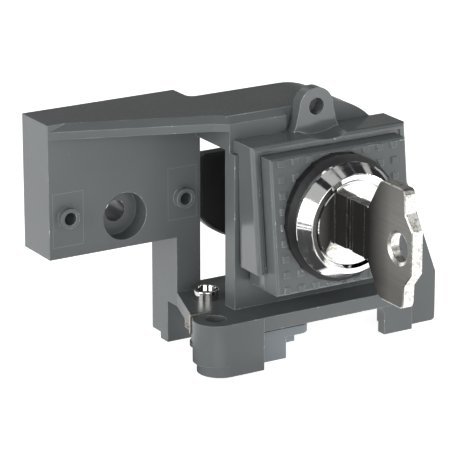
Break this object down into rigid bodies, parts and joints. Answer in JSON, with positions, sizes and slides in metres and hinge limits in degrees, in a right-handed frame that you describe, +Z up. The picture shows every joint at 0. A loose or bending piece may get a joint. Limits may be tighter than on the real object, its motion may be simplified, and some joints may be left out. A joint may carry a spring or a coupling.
{
  "type": "selector key switch",
  "caption": "Key-lock adaptor for a breaker handle: hollow moulded frame with arm and post, raked lock block with seal lug, cylinder lock with key, rear blocking disc, sprung latch lever.",
  "frame": {"origin": "centre of the arm's screw hole, in the plane of the arm's back", "axes": "+X to the right, +Y to the rear and +Z up, seen from the key side; the lock's axis runs along Y"},
  "size_m": [0.0779, 0.0645, 0.0524],
  "materials": {
    "frame_plastic": "semi-matt moulded, dark grey",
    "plate_plastic": "semi-matt moulded, dark grey",
    "rubber": "black",
    "chrome": "polished",
    "nickel": "bright nickel",
    "zinc_steel": "zinc plated",
    "brass": "drawn sheet",
    "black_plastic": "black moulded",
    "lever_plastic": "bluish grey moulded",
    "key_steel": "brushed nickel silver"
  },
  "bodies": {
    "frame": {"frame_body": "frame_plastic", "lock_block": "frame_plastic", "face_plate": "plate_plastic", "lock_gasket": "rubber", "lock_barrel": "chrome", "lock_washer": "zinc_steel", "lock_nut": "zinc_steel", "pivot_rivet": "nickel", "rivet_clip": "zinc_steel", "torsion_spring": "nickel"},
    "plug_group": {"plug": "chrome", "plug_clip": "zinc_steel", "drive_spindle": "zinc_steel", "blocking_disc": "black_plastic", "disc_washer": "zinc_steel", "disc_screw": "zinc_steel", "upper_wafer_springs": "zinc_steel", "lower_wafer_springs": "zinc_steel"},
    "upper_wafer_set": {"upper_wafers": "brass"},
    "lower_wafer_set": {"lower_wafers": "brass"},
    "key_body": {"key": "key_steel"},
    "lever": {"latch_lever": "lever_plastic"}
  },
  "joints": [
    {"name": "plug_turn", "type": "hinge", "parent": "frame", "child": "plug_group", "pos_m": [0.0329, -0.0339, 0.00105], "axis": [0, 1, 0], "range_deg": [0, 90]},
    {"name": "key_withdraw", "type": "slide", "parent": "plug_group", "child": "key_body", "axis": [0, -1, 0], "range_m": [0, 0.024]},
    {"name": "upper_wafer_rise", "type": "slide", "parent": "plug_group", "child": "upper_wafer_set", "axis": [0, 0, 1], "range_m": [0, 0.0006], "deforming": ["upper_wafer_springs"]},
    {"name": "lower_wafer_drop", "type": "slide", "parent": "plug_group", "child": "lower_wafer_set", "axis": [0, 0, -1], "range_m": [0, 0.0006], "deforming": ["lower_wafer_springs"]},
    {"name": "lever_swing", "type": "hinge", "parent": "frame", "child": "lever", "pos_m": [0.0144, -0.0159, -0.02095], "axis": [0, 0, 1], "range_deg": [0, 18], "stiffness_Nm_per_rad": 0.02, "springref_deg": -11.46, "deforming": ["torsion_spring"]}
  ],
  "couplings": [
    {"joint": "upper_wafer_rise", "follows": "key_withdraw", "ratio": 0.025},
    {"joint": "lower_wafer_drop", "follows": "key_withdraw", "ratio": 0.025}
  ]
}
